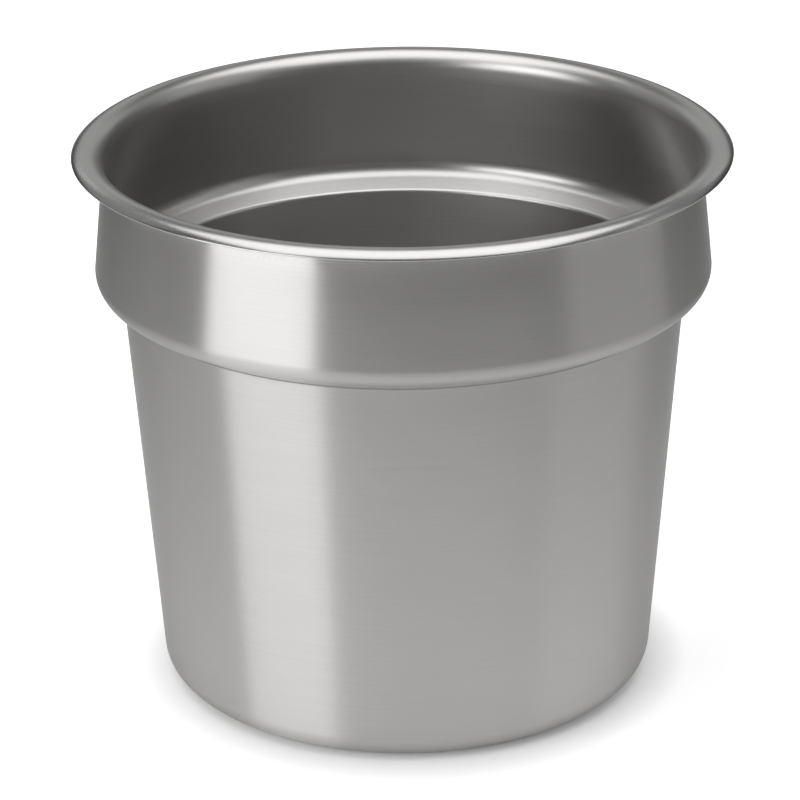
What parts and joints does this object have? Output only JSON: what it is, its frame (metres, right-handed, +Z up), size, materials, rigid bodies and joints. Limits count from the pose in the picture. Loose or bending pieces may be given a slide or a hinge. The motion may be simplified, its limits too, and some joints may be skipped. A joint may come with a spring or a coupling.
{
  "type": "soup kettle inset pot",
  "caption": "Round stainless inset pot for a soup kettle or food warmer, with a tapered body, stacking shoulder, wide band and arched hanging rim.",
  "frame": {"origin": "centre of the flat base, on its underside", "axes": "+Z up along the pot's axis, from the base to the rim"},
  "size_m": [0.28, 0.28, 0.24],
  "materials": {
    "brushed_stainless": "fine satin, brushed round the pot"
  },
  "bodies": {
    "root": {"inset_pot": "brushed_stainless"}
  },
  "joints": []
}
